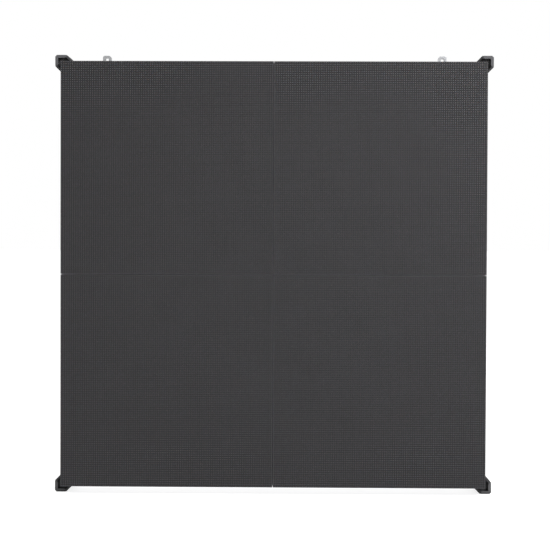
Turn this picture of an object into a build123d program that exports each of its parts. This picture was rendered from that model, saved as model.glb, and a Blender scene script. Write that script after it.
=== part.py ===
from build123d import *
import math
import os

# LED video wall panel, 500 mm square, for rental staging.
# X runs to the right as the audience sees it, Y runs from the LED face (negative) to the rear,
# Z runs up. The origin is under the middle of the panel, level with the feet of the lower corner
# guards and half way between the LED face and the rear cover.
# Every sub-part is modelled about the centre of the square and lifted into place when it is saved.

# ---------------------------------------------------------------- driving dimensions (mm)
PANEL = 500.0  # side of the square face
DEPTH = 76.0  # LED face to rear cover
MODULE_DEPTH = 16.0  # LED module: mask, board and case
FRAME_DEPTH = 44.0  # cast cabinet frame behind the modules
GUARD_OUT = 8.5  # how far an extended corner guard stands out of each edge

HALF = PANEL / 2
LIFT = HALF + GUARD_OUT
FACE_Y = -DEPTH / 2
FRAME_FRONT = FACE_Y + MODULE_DEPTH
FRAME_REAR = FRAME_FRONT + FRAME_DEPTH
COVER_REAR = DEPTH / 2
ROOT2 = math.sqrt(2.0)

# cast frame
WALL = 4.0
WEB_WIDTH = 26.0  # front web that the modules rest on
FLANGE_WIDTH = 14.0  # rear flange of each rail
LIP = 3.0  # stiffening lip on the web's inner edge
LIP_DEPTH = 3.5
CROSS_HALF = 17.0  # half width of the cross bars
CROSS_DEPTH = 8.0
RIB = 3.0
CORNER_PLATE = 41.0
WEB_REAR = FRAME_FRONT + WALL
FLANGE_FRONT = FRAME_REAR - WALL
WALL_IN = HALF - WALL
RIB_X = 125.0  # ribs in the top and bottom rails, from the middle
RIB_Z = 60.0  # ribs in the side rails

# LED modules
MODULE = 249.6
MASK_T = 1.8
BOARD_T = 1.6
BOARD = 248.8
CASE = 249.0
CASE_WALL = 3.0
CASE_PLATE = 2.4
WINDOW = 46.0
WINDOW_PITCH = 58.0
CHIP = 5.0
CHIP_T = 1.2
CHIP_OFFSET = 12.0
MASK_REAR = FACE_Y + MASK_T
BOARD_REAR = MASK_REAR + BOARD_T
MODULE_CENTRE = HALF / 2
BOSS_R = 4.5
SCREW3_R = 1.45
SCREW3_HEAD_R = 2.8
SCREW3_HEAD = 2.0
FIT = 0.05  # radial gap round screws, magnets and pins
MAGNET_R = 6.0
MAGNET_T = 5.9
MAGNET_X = 116.0  # from the module's centre
MAGNET_Z = 62.5
PLATE_R = 7.0
PLATE_T = 1.6
HEADER_AT = MODULE_CENTRE - 1.5 * WINDOW_PITCH  # board header, from the panel's centre lines
HEADER = (34.0, 6.0)

# corner guards, in a diagonal frame: s runs inward from the point of the guard, t across it
GUARD_STRAIGHT = 13.5  # straight outer edge of the guard, from its point
GUARD_TIP = 2.0
GUARD_HALF = GUARD_STRAIGHT / ROOT2
GUARD_GAP = 0.3
HEAD_END = 23.5
STEM_END = 47.5
GUARD_TRAVEL = GUARD_OUT * ROOT2
GUARD_FACE = FRAME_FRONT + 0.5
GUARD_REAR = FRAME_REAR - 0.5
STEM_HALF_DEPTH = 17.6
RIM = 3.5
RIM_BEVEL = 0.9
RECESS_DEPTH = 5.0
SLOPE = 2.4
THROAT_END = 36.0
CHANNEL_END = 60.0
GUIDE_START = 25.1
THUMB = (39.5, 46.5)
THUMB_HALF = 5.0
THUMB_REAR = 25.0
PAD = (34.0, 42.0)
PAD_HALF_DEPTH = 6.0
PAD_T = 1.8

# top striker loops and the hook latches that pull on the panel below
STRIKER_X = 200.0
STRIKER_Y = 8.0
STRIKER_WIDTH = 9.6
STRIKER_LEG = 2.6
STRIKER_HALF_DEPTH = 6.0
STRIKER_HEIGHT = 10.0
STRIKER_BASE_HALF = 16.0
STRIKER_BASE_T = 3.0
STRIKER_SCREW = 11.0
HOOK_PIVOT_UP = 24.0  # hook pivot above the panel's bottom edge
HOOK_R_IN = 18.0
HOOK_R_OUT = 21.8
HOOK_T = 3.6
HOOK_HUB_R = 6.0
HOOK_HUB_HALF = 5.8
HOOK_PIN_R = 3.0
EAR_IN = 6.1
EAR_OUT = 9.0
LEVER_LENGTH = 56.0
LEVER_HALF = 3.5
SLOT_HALF = 6.1
SLOT_HALF_DEPTH = 9.5
HOOK_TIP = -69.0  # angle of the hook's nose, from the rear, while it holds the loop
HOOK_ROOT = -156.0

# side latches, on the right rail, and the pins that they catch on the left rail
SIDE_Z = 150.0
SIDE_PIVOT = 229.7
SIDE_R_IN = 32.5
SIDE_R_OUT = 36.5
SIDE_T = 4.0
SIDE_HUB_R = 9.0
SHAFT_R = 4.0
SIDE_PIN_X = 241.0
SIDE_PIN_R = 3.0
SIDE_LEVER = 40.0
SIDE_LEVER_HALF = 5.0
SIDE_LEVER_Y = (22.6, 27.6)
SIDE_SLOT = (-20.0, 36.5)
SIDE_SQUARE = 2.8  # half the shaft's square
SIDE_SHAFT_FRONT = -9.0
RIVET_R = 2.5
RIVET_HEAD_R = 4.5
RIVET_HEAD = 1.4
CHEEK_Y = (3.0, 7.0)  # bearing plates of the side latches, from the middle
CHEEK_START = 216.0
CHEEK_HALF = 14.0
PIN_CHEEK_Y = (4.0, 8.0)  # plates that hold the side pins
PIN_CHEEK_HALF = 7.0
SIDE_PIN_HALF = 9.0

# power and data box
BOX_HALF_X = 95.0
BOX_HALF_Z = 150.0
BOX_FRONT = FRAME_FRONT + CROSS_DEPTH
BOX_WALL = 2.5
COVER_T = 4.0
SEAL_T = 0.8
COVER_FRONT = COVER_REAR - COVER_T
SHELL_REAR = COVER_FRONT - SEAL_T
FLOOR = BOX_FRONT + BOX_WALL
COVER_SCREWS = [(sx * 88.0, z) for sx in (-1, 1) for z in (-143.0, 0.0, 143.0)]
BOX_SCREWS = [(0.0, 125.0), (0.0, -125.0), (70.0, 0.0), (-70.0, 0.0)]
HUB_SCREWS = [(sx * 72.0, z) for sx in (-1, 1) for z in (-100.0, 128.0)]
HUB_FRONT = -9.0
HUB_REAR = HUB_FRONT + BOARD_T
SOCKET_Y = 10.0
SOCKETS = {"power_in": -66.0, "data_in": -22.0, "data_out": 22.0, "power_out": 66.0}
SOCKET_R = 11.8
SOCKET_DEPTH = 24.0
FLANGE_T = 2.5
BUTTON = (60.0, -105.0)
BUTTON_R = 4.5
BUTTON_FLANGE_R = 6.0
LENSES = [(40.0, -105.0), (28.0, -105.0)]
LENS_R = 2.5
HUB_X = 80.0
HUB_Z = (-115.0, 140.0)
SUPPLY_X = (-68.0, 8.0)
SUPPLY_Y = (-3.0, 27.0)
SUPPLY_Z = (-55.0, 95.0)
CARD_X = (16.0, 72.0)
CARD_Y = 2.0
CARD_Z = (0.0, 100.0)
CHIP_TALL = 2.0
LEAD_R = 2.2
LEAD_BEND = 9.0
LEAD_TURN_Z = -104.0  # where each lead leaves the line of its socket
FINS = 16  # cooling grooves in the rear cover
FIN_PITCH = 9.0
FIN_LENGTH = 180.0

# carrying handle
HANDLE_Y = 9.0
HANDLE_Z = 220.0
HANDLE_DROP = 44.0
HANDLE_X = 69.0  # middle of each arm
ARM_HALF = 3.0
ARM_R = 7.0
GRIP_R = 11.0
BAR_R = 6.0
HANDLE_PIN_R = 3.5
LUG_X = (60.0, 78.0)  # outer faces of each pair of lugs
LUG_GAP = 0.6  # between a lug and the arm

# threaded steel inserts, pressed into bosses of the frame
RIGGING_X = 100.0
RIGGING_R = 3.4  # M8 core
RIGGING_INSERT_R = 6.0  # half the insert's width across its flats
RIGGING_BOSS_R = 9.0
RIGGING_DEPTH = 16.0
REAR_FIX = (243.0, 100.0)
REAR_FIX_R = 2.5  # M6 core
REAR_INSERT_R = 4.2
REAR_BOSS_R = 6.8
REAR_FIX_DEPTH = 14.0


# ---------------------------------------------------------------- helpers
def block(x, y, z):
    """Box between the two values of each range."""
    middle = [(a[0] + a[1]) / 2 for a in (x, y, z)]
    size = [abs(a[1] - a[0]) for a in (x, y, z)]
    return Pos(*middle) * Box(*size)


def rod_x(radius, x, y, z):
    """Cylinder along X over the range x."""
    return Pos((x[0] + x[1]) / 2, y, z) * Rot(0, 90, 0) * Cylinder(radius, abs(x[1] - x[0]))


def rod_y(radius, x, y, z):
    """Cylinder along Y over the range y."""
    return Pos(x, (y[0] + y[1]) / 2, z) * Rot(90, 0, 0) * Cylinder(radius, abs(y[1] - y[0]))


def rod_z(radius, x, y, z):
    """Cylinder along Z over the range z."""
    return Pos(x, y, (z[0] + z[1]) / 2) * Cylinder(radius, abs(z[1] - z[0]))


def hexagon_z(half_width, x, z):
    """Hexagonal bar along Z, centred in depth."""
    outline = Pos(x, 0, z[0]) * RegularPolygon(half_width, 6, major_radius=False)
    return extrude(outline, z[1] - z[0])


def facing(sketch, y):
    """A sketch drawn in X and Z, made solid over the range y."""
    return extrude(Pos(0, y[1], 0) * (Plane.XZ * sketch), amount=y[1] - y[0])


def sideways(sketch, x):
    """A sketch drawn in Y and Z, made solid over the range x."""
    return extrude(Pos(x[0], 0, 0) * (Plane.YZ * sketch), amount=x[1] - x[0])


def ring(outer, inner, y, radius=6.0):
    """Square ring in the plane of the face, with round inner corners."""
    return facing(Rectangle(outer, outer) - RectangleRounded(inner, inner, radius), y)


def sector(r_in, r_out, start, end):
    """Part of a flat ring about the origin, between two angles in degrees."""
    first, last = math.radians(start), math.radians(end)
    outer = CenterArc((0, 0), r_out, start, end - start)
    inner = CenterArc((0, 0), r_in, start, end - start)
    ends = [
        Line((r_in * math.cos(a), r_in * math.sin(a)), (r_out * math.cos(a), r_out * math.sin(a)))
        for a in (first, last)
    ]
    return make_face([outer, inner, *ends])


def four_ways(shape):
    """A shape of the upper right quarter, with its three mirror images."""
    left = mirror(shape, about=Plane.YZ)
    return [shape, left, mirror(shape, about=Plane.XY), mirror(left, about=Plane.XY)]


def both_sides(shape):
    """A shape on the right, with its mirror image on the left."""
    return [shape, mirror(shape, about=Plane.YZ)]


def save(name, shapes):
    """Lift a sub-part into place and write it."""
    solids = [s for shape in shapes for s in shape.solids()]
    lifted = [Pos(0, 0, LIFT) * s for s in solids]
    export_step(Compound(children=lifted) if len(lifted) > 1 else lifted[0], f"parts/{name}.step")


# the diagonal frame of the upper right corner guard
DIAGONAL = Plane(origin=(HALF + GUARD_OUT, 0, HALF + GUARD_OUT), x_dir=(-1, 0, -1), z_dir=(0, 1, 0))


def slanted(s, t, y):
    """Box in the diagonal frame."""
    middle = Pos((s[0] + s[1]) / 2, (t[0] + t[1]) / 2, (y[0] + y[1]) / 2)
    return DIAGONAL.location * middle * Box(abs(s[1] - s[0]), abs(t[1] - t[0]), abs(y[1] - y[0]))


def slanted_outline(points, y):
    """Outline in the diagonal frame, made solid over the range y."""
    face = make_face(Polyline(*points, close=True))
    return extrude(DIAGONAL.offset(y[0]) * face, amount=y[1] - y[0])


# ---------------------------------------------------------------- cast frame
def rails():
    """Four C-shaped rails: outer wall, front web with its lip, and rear flange."""
    inside = PANEL - 2 * WEB_WIDTH
    return [
        ring(PANEL, 2 * WALL_IN, (FRAME_FRONT, FRAME_REAR), 8.0),
        ring(PANEL, inside, (FRAME_FRONT, WEB_REAR), 10.0),
        ring(inside + 2 * LIP, inside, (WEB_REAR, WEB_REAR + LIP_DEPTH), 10.0),
        ring(PANEL, PANEL - 2 * FLANGE_WIDTH, (FLANGE_FRONT, FRAME_REAR), 10.0),
    ]


def cross_bars():
    """The cross behind the joints between the modules, hollowed outside the power box."""
    depth = (FRAME_FRONT, BOX_FRONT)
    upright = block((-CROSS_HALF, CROSS_HALF), depth, (-WALL_IN, WALL_IN))
    level = block((-WALL_IN, WALL_IN), depth, (-CROSS_HALF, CROSS_HALF))
    groove_y = (WEB_REAR, BOX_FRONT)
    groove = CROSS_HALF - WALL
    end = HALF - WEB_WIDTH
    upper = block((-groove, groove), groove_y, (BOX_HALF_Z + 6, end))
    right = block((BOX_HALF_X + 6, end), groove_y, (-groove, groove))
    hollows = [upper, mirror(upper, about=Plane.XY), *both_sides(right)]
    return (upright + level) - hollows


def rail_ribs():
    """Cross ribs inside the rails."""
    depth = (WEB_REAR, FLANGE_FRONT)
    reach = (HALF - FLANGE_WIDTH, WALL_IN)
    upper = block((RIB_X - RIB / 2, RIB_X + RIB / 2), depth, reach)
    right = block(reach, depth, (RIB_Z - RIB / 2, RIB_Z + RIB / 2))
    return four_ways(upper) + four_ways(right)


def corner_guides():
    """Front and rear plates of each corner and the two walls that guide the sliding guard."""
    side = (HALF - CORNER_PLATE, HALF)
    plates = [
        block(side, (FRAME_FRONT, WEB_REAR), side),
        block(side, (FLANGE_FRONT, FRAME_REAR), side),
    ]
    t = (GUARD_HALF + GUARD_GAP, GUARD_HALF + GUARD_GAP + RIB)
    walls = [
        slanted((GUIDE_START, CHANNEL_END), sign_t, (WEB_REAR, FLANGE_FRONT))
        for sign_t in (t, (-t[1], -t[0]))
    ]
    return [copy for piece in plates + walls for copy in four_ways(piece)]


def corner_channels():
    """The space that each guard slides in, with the slot for its thumb pad."""
    t = (-GUARD_HALF - GUARD_GAP, GUARD_HALF + GUARD_GAP)
    throat = slanted((-4, THROAT_END), t, (FRAME_FRONT - 1, FRAME_REAR + 1))
    channel = slanted((THROAT_END - 1, CHANNEL_END), t, (WEB_REAR, FLANGE_FRONT))
    thumb_s = (THUMB[0] - 1, THUMB[1] + GUARD_TRAVEL + 1)
    thumb = slanted(thumb_s, (-THUMB_HALF - 0.5, THUMB_HALF + 0.5), (FLANGE_FRONT - 1, FRAME_REAR + 1))
    return [copy for piece in (throat, channel, thumb) for copy in four_ways(piece)]


def hook_ears():
    """Two cast ears beside each bottom hook latch."""
    z = (-WALL_IN, -HALF + HOOK_PIVOT_UP + 8)
    y = (STRIKER_Y - 8, STRIKER_Y + 8)
    inner = block((STRIKER_X - EAR_OUT, STRIKER_X - EAR_IN), y, z)
    outer = block((STRIKER_X + EAR_IN, STRIKER_X + EAR_OUT), y, z)
    return both_sides(inner) + both_sides(outer)


def side_latch_cheeks():
    """Bearing plates for the side latch shafts, with ribs to the web and the flange."""
    x = (CHEEK_START, WALL_IN)
    z = (SIDE_Z - CHEEK_HALF, SIDE_Z + CHEEK_HALF)
    inner, outer = CHEEK_Y
    pieces = [block(x, (-outer, -inner), z), block(x, (inner, outer), z)]
    for rib in ((z[0], z[0] + RIB), (z[1] - RIB, z[1])):
        pieces.append(block((HALF - WEB_WIDTH, WALL_IN), (WEB_REAR, -outer), rib))
        pieces.append(block((HALF - FLANGE_WIDTH, WALL_IN), (outer, FLANGE_FRONT), rib))
    return pieces + [mirror(p, about=Plane.XY) for p in pieces]


def side_pin_cheeks():
    """Plates on the left rail that hold the pins for the next panel's side latches."""
    x = (-WALL_IN, -SIDE_PIN_X + PIN_CHEEK_HALF)
    z = (SIDE_Z - PIN_CHEEK_HALF, SIDE_Z + PIN_CHEEK_HALF)
    rib = (SIDE_Z - RIB / 2, SIDE_Z + RIB / 2)
    inner, outer = PIN_CHEEK_Y
    pieces = [block(x, (-outer, -inner), z), block(x, (inner, outer), z)]
    pieces += [block(x, (WEB_REAR, -outer), rib), block(x, (outer, FLANGE_FRONT), rib)]
    return pieces + [mirror(p, about=Plane.XY) for p in pieces]


def handle_lugs():
    """Four cast lugs that carry the handle's pins."""
    z = (HANDLE_Z - 8, WALL_IN)
    y = (0, FLANGE_FRONT)
    inner = block((LUG_X[0], HANDLE_X - ARM_HALF - LUG_GAP), y, z)
    outer = block((HANDLE_X + ARM_HALF + LUG_GAP, LUG_X[1]), y, z)
    return both_sides(inner) + both_sides(outer)


def fixing_bosses():
    """Round bosses round the threaded inserts."""
    upper = rod_z(RIGGING_BOSS_R, RIGGING_X, 0, (HALF - RIGGING_DEPTH - 2, WALL_IN))
    rear = rod_y(REAR_BOSS_R, REAR_FIX[0], (FRAME_REAR - REAR_FIX_DEPTH, FLANGE_FRONT), REAR_FIX[1])
    return four_ways(upper) + four_ways(rear)


def frame_holes():
    """Every hole and slot in the frame."""
    cuts = corner_channels()
    rigging = hexagon_z(RIGGING_INSERT_R + FIT, RIGGING_X, (HALF - RIGGING_DEPTH, HALF + 1))
    rear_y = (FRAME_REAR - REAR_FIX_DEPTH - 1, FRAME_REAR + 1)
    rear = rod_y(REAR_INSERT_R + FIT, REAR_FIX[0], rear_y, REAR_FIX[1])
    cuts += four_ways(rigging) + four_ways(rear)
    for dx in (-MAGNET_X, MAGNET_X):
        for dz in (-MAGNET_Z, MAGNET_Z):
            spot = (MODULE_CENTRE + dx, (FRAME_FRONT - 1, FRAME_FRONT + PLATE_T), MODULE_CENTRE + dz)
            cuts += four_ways(rod_y(PLATE_R + FIT, *spot))
    for x, z in BOX_SCREWS:
        cuts.append(rod_y(1.9 + FIT, x, (BOX_FRONT - 6.5, BOX_FRONT + 1), z))
    # bottom slots that the striker loops of the panel below enter, and the hook pins
    slot_y = (STRIKER_Y - SLOT_HALF_DEPTH, STRIKER_Y + SLOT_HALF_DEPTH)
    slot = block((STRIKER_X - SLOT_HALF, STRIKER_X + SLOT_HALF), slot_y, (-HALF - 1, -WALL_IN + 1))
    pin_x = (STRIKER_X - EAR_OUT - 1, STRIKER_X + EAR_OUT + 1)
    pin = rod_x(HOOK_PIN_R + FIT, pin_x, STRIKER_Y, -HALF + HOOK_PIVOT_UP)
    cuts += both_sides(slot) + both_sides(pin)
    # top slots and countersunk holes of this panel's own striker loops
    half = STRIKER_WIDTH / 2 + 0.3
    depth = STRIKER_HALF_DEPTH + 0.3
    leg_slot = block(
        (STRIKER_X - half, STRIKER_X + half),
        (STRIKER_Y - depth, STRIKER_Y + depth),
        (WALL_IN - 1, HALF + 1),
    )
    cuts += both_sides(leg_slot)
    for dx in (-STRIKER_SCREW, STRIKER_SCREW):
        cuts += both_sides(rod_z(2.0 + FIT, STRIKER_X + dx, STRIKER_Y, (WALL_IN - 1, HALF + 1)))
        cuts += both_sides(rod_z(3.8 + FIT, STRIKER_X + dx, STRIKER_Y, (HALF - 2, HALF + 1)))
    # side slots, shafts and pins
    for centre in (-SIDE_Z, SIDE_Z):
        z = (centre + SIDE_SLOT[0], centre + SIDE_SLOT[1])
        cuts.append(block((WALL_IN - 1, HALF + 1), (-3, 3), z))
        cuts.append(block((-HALF - 1, -WALL_IN + 1), (-3, 3), z))
        cuts.append(rod_y(SHAFT_R + FIT, SIDE_PIVOT, (-CHEEK_Y[1] - 1, CHEEK_Y[1] + 1), centre))
        cuts.append(rod_y(SIDE_PIN_R + FIT, -SIDE_PIN_X, (-SIDE_PIN_HALF, SIDE_PIN_HALF), centre))
    # handle pins
    cuts += both_sides(rod_x(HANDLE_PIN_R + FIT, (LUG_X[0] - 1, LUG_X[1] + 1), HANDLE_Y, HANDLE_Z))
    return cuts


def rigging_insert():
    """Hexagonal threaded steel insert for a hanging bracket or a base bar."""
    z = (HALF - RIGGING_DEPTH, HALF)
    bore = rod_z(RIGGING_R, RIGGING_X, 0, (z[0] - 1, z[1] + 1))
    return hexagon_z(RIGGING_INSERT_R, RIGGING_X, z) - bore


def rear_insert():
    """Threaded steel insert for a wall frame behind the panel."""
    x, z = REAR_FIX
    y = (FRAME_REAR - REAR_FIX_DEPTH, FRAME_REAR)
    return rod_y(REAR_INSERT_R, x, y, z) - rod_y(REAR_FIX_R, x, (y[0] - 1, y[1] + 1), z)


def cabinet_frame():
    """The one-piece casting that carries everything else."""
    frame = Part() + rails() + cross_bars() + rail_ribs() + corner_guides()
    frame = frame + hook_ears() + side_latch_cheeks() + side_pin_cheeks()
    frame = frame + handle_lugs() + fixing_bosses()
    return frame - frame_holes()


# ---------------------------------------------------------------- LED modules
def module_mask():
    """Louvred front mask, a plate with eased front edges."""
    plate = facing(Rectangle(MODULE, MODULE), (FACE_Y, MASK_REAR))
    front = plate.faces().sort_by(Axis.Y)[0]
    return chamfer(front.edges(), 0.3)


def window_centres():
    """Centres of the sixteen windows in the back of a module case."""
    steps = [(i - 1.5) * WINDOW_PITCH for i in range(4)]
    return [(x, z) for x in steps for z in steps]


def led_board():
    """Circuit board with its driver chips on the rear."""
    board = block((-BOARD / 2, BOARD / 2), (MASK_REAR, BOARD_REAR), (-BOARD / 2, BOARD / 2))
    chips = [
        block(
            (x + dx - CHIP / 2, x + dx + CHIP / 2),
            (BOARD_REAR, BOARD_REAR + CHIP_T),
            (z + dz - CHIP / 2, z + dz + CHIP / 2),
        )
        for x, z in window_centres()
        for dx in (-CHIP_OFFSET, CHIP_OFFSET)
        for dz in (-CHIP_OFFSET, CHIP_OFFSET)
    ]
    return board + chips


def case_bosses():
    """Screw positions of a module case, from its centre."""
    return [(0.0, 0.0)] + [(sx * WINDOW_PITCH, sz * WINDOW_PITCH) for sx in (-1, 1) for sz in (-1, 1)]


def magnet_spots():
    """Magnet positions of a module case, from its centre."""
    return [(sx * MAGNET_X, sz * MAGNET_Z) for sx in (-1, 1) for sz in (-1, 1)]


def module_case():
    """Rear case: edge wall, windowed back plate, grid of ribs, screw bosses and magnet cups."""
    depth = (BOARD_REAR, FRAME_FRONT)
    plate_front = FRAME_FRONT - CASE_PLATE
    inside = CASE - 2 * CASE_WALL
    case = facing(Rectangle(CASE, CASE) - Rectangle(inside, inside), depth)
    case += facing(Rectangle(CASE, CASE), (plate_front, FRAME_FRONT))
    rib_y = (BOARD_REAR + CHIP_T + 0.4, plate_front)
    ribs = []
    for step in [i * WINDOW_PITCH / 2 for i in range(-3, 4)]:
        ribs.append(block((step - 1, step + 1), rib_y, (-inside / 2, inside / 2)))
        ribs.append(block((-inside / 2, inside / 2), rib_y, (step - 1, step + 1)))
    corner = 1.5 * WINDOW_PITCH
    wide, high = HEADER[0] / 2 + 1, HEADER[1] / 2 + 1
    header_cuts = [
        block((x - wide, x + wide), depth, (z - high, z + high))
        for x in (-corner, corner)
        for z in (-corner, corner)
    ]
    bosses = [rod_y(BOSS_R, x, depth, z) for x, z in case_bosses()]
    cups = [rod_y(MAGNET_R + 1.5, x, (FRAME_FRONT - MAGNET_T - 2, FRAME_FRONT), z) for x, z in magnet_spots()]
    windows = [
        facing(Pos(x, z) * RectangleRounded(WINDOW, WINDOW, 4.0), (plate_front - 0.5, FRAME_FRONT + 1))
        for x, z in window_centres()
    ]
    case = (case - windows) + (Part() + ribs - header_cuts) + bosses + cups
    for x, z in case_bosses():
        case -= rod_y(SCREW3_R + FIT, x, (BOARD_REAR - 1, FRAME_FRONT + 1), z)
        case -= rod_y(SCREW3_HEAD_R + FIT, x, (FRAME_FRONT - SCREW3_HEAD, FRAME_FRONT + 1), z)
    for x, z in magnet_spots():
        case -= rod_y(MAGNET_R + FIT, x, (FRAME_FRONT - MAGNET_T - 0.1, FRAME_FRONT + 1), z)
    return case


def at_module(shape, sx, sz):
    """A module's sub-part, moved from the centre to its quarter of the panel."""
    return Pos(sx * MODULE_CENTRE, 0, sz * MODULE_CENTRE) * shape


def module_screw(x, z):
    """Screw that holds the board's standoff to the case."""
    head = rod_y(SCREW3_HEAD_R, x, (FRAME_FRONT - SCREW3_HEAD, FRAME_FRONT - 0.2), z)
    return head + rod_y(SCREW3_R, x, (BOARD_REAR + 0.2, FRAME_FRONT - SCREW3_HEAD), z)


def module_header(x, z):
    """Pin header from a module's board to the hub board."""
    wide, high = HEADER[0] / 2, HEADER[1] / 2
    return block((x - wide, x + wide), (BOARD_REAR, HUB_FRONT), (z - high, z + high))


# ---------------------------------------------------------------- corner guards
def corner_guard():
    """Sliding corner guard: a pointed head with a dished front, on a hollow square stem."""
    tip = GUARD_TIP / ROOT2
    outline = [
        (tip, -tip),
        (GUARD_HALF, -GUARD_HALF),
        (HEAD_END, -GUARD_HALF),
        (HEAD_END, GUARD_HALF),
        (GUARD_HALF, GUARD_HALF),
        (tip, tip),
    ]
    head = slanted_outline(outline, (GUARD_FACE, GUARD_REAR))
    front = head.faces().sort_by(Axis.Y)[0]
    inward = Vector(-1, 0, -1).normalized()
    head = chamfer([e for e in front.edges() if abs(e.tangent_at(0.5).dot(inward)) > 0.99], SLOPE)
    front = head.faces().sort_by(Axis.Y)[0]
    near_point = 2 * (HALF + GUARD_OUT) - HEAD_END
    outer = [e for e in front.edges() if (e @ 0.5).X + (e @ 0.5).Z > near_point]
    head = chamfer([e for e in outer if abs(e.tangent_at(0.5).dot(inward)) < 0.8], RIM_BEVEL)
    rim_s = RIM * ROOT2
    rim_t = GUARD_HALF - SLOPE
    recess = [
        (rim_s, 0.0),
        (rim_s + rim_t, -rim_t),
        (HEAD_END + 1, -rim_t),
        (HEAD_END + 1, rim_t),
        (rim_s + rim_t, rim_t),
    ]
    head -= slanted_outline(recess, (GUARD_FACE - 1, GUARD_FACE + RECESS_DEPTH))
    stem = slanted((HEAD_END - 1, STEM_END), (-GUARD_HALF, GUARD_HALF), (-STEM_HALF_DEPTH, STEM_HALF_DEPTH))
    thumb = slanted(THUMB, (-THUMB_HALF, THUMB_HALF), (STEM_HALF_DEPTH - 1, THUMB_REAR))
    hollow = slanted((HEAD_END + 5, STEM_END + 1), (-6, 6), (-STEM_HALF_DEPTH + 4, STEM_HALF_DEPTH - 4))
    guard = head + stem + thumb - hollow
    for step in range(3):
        s = THUMB[0] + 1.5 + step * 2.0
        across = (-THUMB_HALF - 1, THUMB_HALF + 1)
        guard -= slanted((s - 0.5, s + 0.5), across, (THUMB_REAR - 0.8, THUMB_REAR + 1))
    pad_t = (GUARD_HALF - PAD_T + 0.25, GUARD_HALF + 1)
    return guard - slanted(PAD, pad_t, (-PAD_HALF_DEPTH, PAD_HALF_DEPTH))


def guard_pad():
    """Rubber friction pad in the flank of a guard's stem."""
    t = (GUARD_HALF - PAD_T + 0.25, GUARD_HALF + 0.25)
    return slanted(PAD, t, (-PAD_HALF_DEPTH, PAD_HALF_DEPTH))


# ---------------------------------------------------------------- striker loops and hook latches
def top_striker():
    """Loop that the panel above hooks onto, with a base plate under the rail's wall."""
    wide = STRIKER_WIDTH / 2
    bore = wide - STRIKER_LEG
    low, high = WALL_IN, HALF + STRIKER_HEIGHT
    arch = Pos(0, (low + high) / 2) * Rectangle(STRIKER_WIDTH, high - low)
    arch = fillet(arch.vertices().group_by(Axis.Y)[-1], STRIKER_LEG)
    eye_low, eye_high = HALF - 1, high - STRIKER_LEG + 0.2
    eye = Pos(0, (eye_low + eye_high) / 2) * RectangleRounded(2 * bore, eye_high - eye_low, 1.0)
    y = (STRIKER_Y - STRIKER_HALF_DEPTH, STRIKER_Y + STRIKER_HALF_DEPTH)
    loop = facing(Pos(STRIKER_X, 0) * (arch - eye), y)
    base_x = (STRIKER_X - STRIKER_BASE_HALF, STRIKER_X + STRIKER_BASE_HALF)
    base = block(base_x, y, (WALL_IN - STRIKER_BASE_T, WALL_IN))
    holes = [
        rod_z(2.0 + FIT, STRIKER_X + dx, STRIKER_Y, (WALL_IN - STRIKER_BASE_T - 1, WALL_IN + 1))
        for dx in (-STRIKER_SCREW, STRIKER_SCREW)
    ]
    return (loop + base) - holes


def striker_screw(x):
    """Screw from the top face through the wall and the striker's base plate."""
    head = rod_z(3.8, x, STRIKER_Y, (HALF - 2, HALF - 0.1))
    head -= block((x - 2, x + 2), (STRIKER_Y - 0.5, STRIKER_Y + 0.5), (HALF - 1.1, HALF))
    return head + rod_z(2.0, x, STRIKER_Y, (WALL_IN - STRIKER_BASE_T - 3, HALF - 2))


def bottom_hook():
    """Curved hook on a hub, with the neck of its lever above."""
    arc = sector(HOOK_R_IN, HOOK_R_OUT, HOOK_ROOT, HOOK_TIP)
    middle = (HOOK_R_IN + HOOK_R_OUT) / 2
    tip = math.radians(HOOK_TIP)
    nose = Pos(middle * math.cos(tip), middle * math.sin(tip)) * Circle((HOOK_R_OUT - HOOK_R_IN) / 2)
    arm = sector(2.0, HOOK_R_OUT, HOOK_ROOT, HOOK_ROOT + 18)
    neck = Pos(0, LEVER_LENGTH / 2) * Rectangle(2 * LEVER_HALF, LEVER_LENGTH)
    blade = Sketch() + [arc, nose, arm, neck, Circle(HOOK_HUB_R)]
    pivot = Pos(0, STRIKER_Y, -HALF + HOOK_PIVOT_UP)
    hook = sideways(blade, (STRIKER_X - HOOK_T / 2, STRIKER_X + HOOK_T / 2))
    hook += sideways(Circle(HOOK_HUB_R), (STRIKER_X - HOOK_HUB_HALF, STRIKER_X + HOOK_HUB_HALF))
    hook -= sideways(Circle(HOOK_PIN_R + FIT), (STRIKER_X - 10, STRIKER_X + 10))
    return pivot * hook


def hook_grip():
    """Moulded grip on the end of a bottom hook's lever, with finger ridges."""
    outline = Pos(0, LEVER_LENGTH - 14) * RectangleRounded(2 * LEVER_HALF + 6, 34, 4)
    ridges = [Pos(LEVER_HALF + 3, LEVER_LENGTH - 26 + 6 * i) * Circle(1.2) for i in range(5)]
    grip = sideways(outline - ridges, (STRIKER_X - 8, STRIKER_X + 8))
    slot = block(
        (STRIKER_X - HOOK_T / 2, STRIKER_X + HOOK_T / 2),
        (-LEVER_HALF, LEVER_HALF),
        (LEVER_LENGTH - 40, LEVER_LENGTH),
    )
    return Pos(0, STRIKER_Y, -HALF + HOOK_PIVOT_UP) * (grip - slot)


def hook_pin():
    """Pivot pin through the two ears."""
    return rod_x(HOOK_PIN_R, (STRIKER_X - EAR_OUT, STRIKER_X + EAR_OUT), STRIKER_Y, -HALF + HOOK_PIVOT_UP)


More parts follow.
